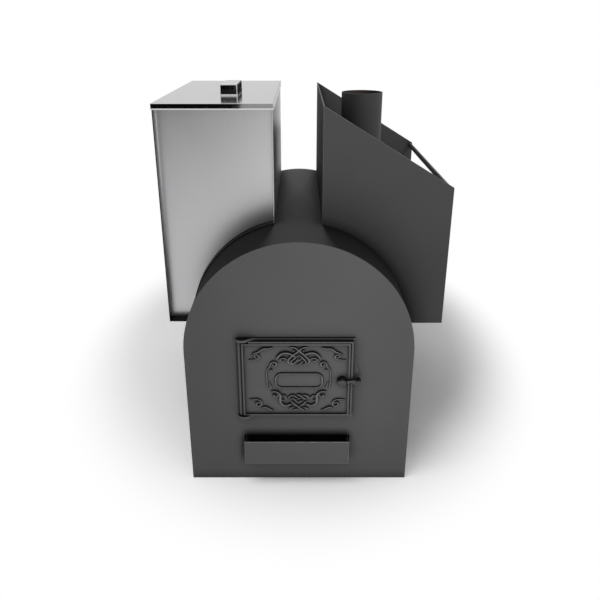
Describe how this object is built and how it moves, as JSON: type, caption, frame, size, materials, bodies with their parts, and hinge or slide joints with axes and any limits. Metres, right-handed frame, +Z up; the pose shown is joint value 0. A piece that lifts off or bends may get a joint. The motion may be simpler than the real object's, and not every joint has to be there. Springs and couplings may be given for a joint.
{
  "type": "sauna stove",
  "caption": "Wood-fired sauna stove: arched steel firebox with cast door and ash drawer, stainless water tank on one shoulder, open stone hopper with flue on the other.",
  "frame": {"origin": "middle of the firebox's footprint, on the floor", "axes": "+Z up, -Y out of the front with the fire door, +X towards the stone hopper"},
  "size_m": [0.761, 0.8536, 0.982],
  "materials": {
    "heat_paint": "matt heat-resistant grey paint",
    "cast_iron": "painted sand casting",
    "stainless": "satin stainless sheet",
    "bright_steel": "plain steel"
  },
  "bodies": {
    "stove": {"side_plate_left": "heat_paint", "side_plate_right": "heat_paint", "arch_roof": "heat_paint", "front_plate": "heat_paint", "back_plate": "heat_paint", "base_plate": "heat_paint", "ash_floor": "heat_paint", "drawer_guide_left": "heat_paint", "drawer_guide_right": "heat_paint", "grate_deck": "heat_paint", "grate": "cast_iron", "baffle_bar_left": "heat_paint", "baffle_bar_right": "heat_paint", "flame_baffle": "heat_paint", "flue_pipe": "heat_paint", "door_frame": "cast_iron", "frame_studs": "bright_steel", "frame_nuts": "bright_steel", "hinge_pin": "bright_steel", "latch_keeper": "cast_iron", "tank_outer_wall": "stainless", "tank_inner_wall": "stainless", "tank_floor": "stainless", "tank_saddle": "stainless", "tank_front_panel": "stainless", "tank_back_panel": "stainless", "tank_outlet_socket": "stainless", "tank_bracket_front": "heat_paint", "tank_bracket_back": "heat_paint", "hopper_front": "heat_paint", "hopper_back": "heat_paint", "hopper_inner_wall": "heat_paint", "hopper_floor": "heat_paint", "hopper_top_rail": "heat_paint", "hopper_side_strips": "heat_paint"},
    "fire_door": {"fire_door": "cast_iron", "door_shield": "heat_paint", "shield_rivets": "bright_steel"},
    "latch": {"latch_boss": "cast_iron", "latch_arm": "cast_iron", "latch_knob": "bright_steel", "latch_spindle": "bright_steel"},
    "ash_drawer": {"ash_drawer_box": "heat_paint", "ash_drawer_front": "heat_paint"},
    "tank_lid": {"tank_lid": "stainless", "lid_grip": "stainless"}
  },
  "joints": [
    {"name": "door_swing", "type": "hinge", "parent": "stove", "child": "fire_door", "pos_m": [-0.1465, -0.4206, 0.311], "axis": [0, 0, -1], "range_deg": [0, 115]},
    {"name": "latch_turn", "type": "hinge", "parent": "fire_door", "child": "latch", "pos_m": [0.1075, -0.4213, 0.3094], "axis": [0, -1, 0], "range_deg": [0, 90]},
    {"name": "ash_drawer_slide", "type": "slide", "parent": "stove", "child": "ash_drawer", "axis": [0, -1, 0], "range_m": [0, 0.38]},
    {"name": "lid_lift", "type": "slide", "parent": "stove", "child": "tank_lid", "axis": [0, 0, 1], "range_m": [0, 0.25]}
  ]
}
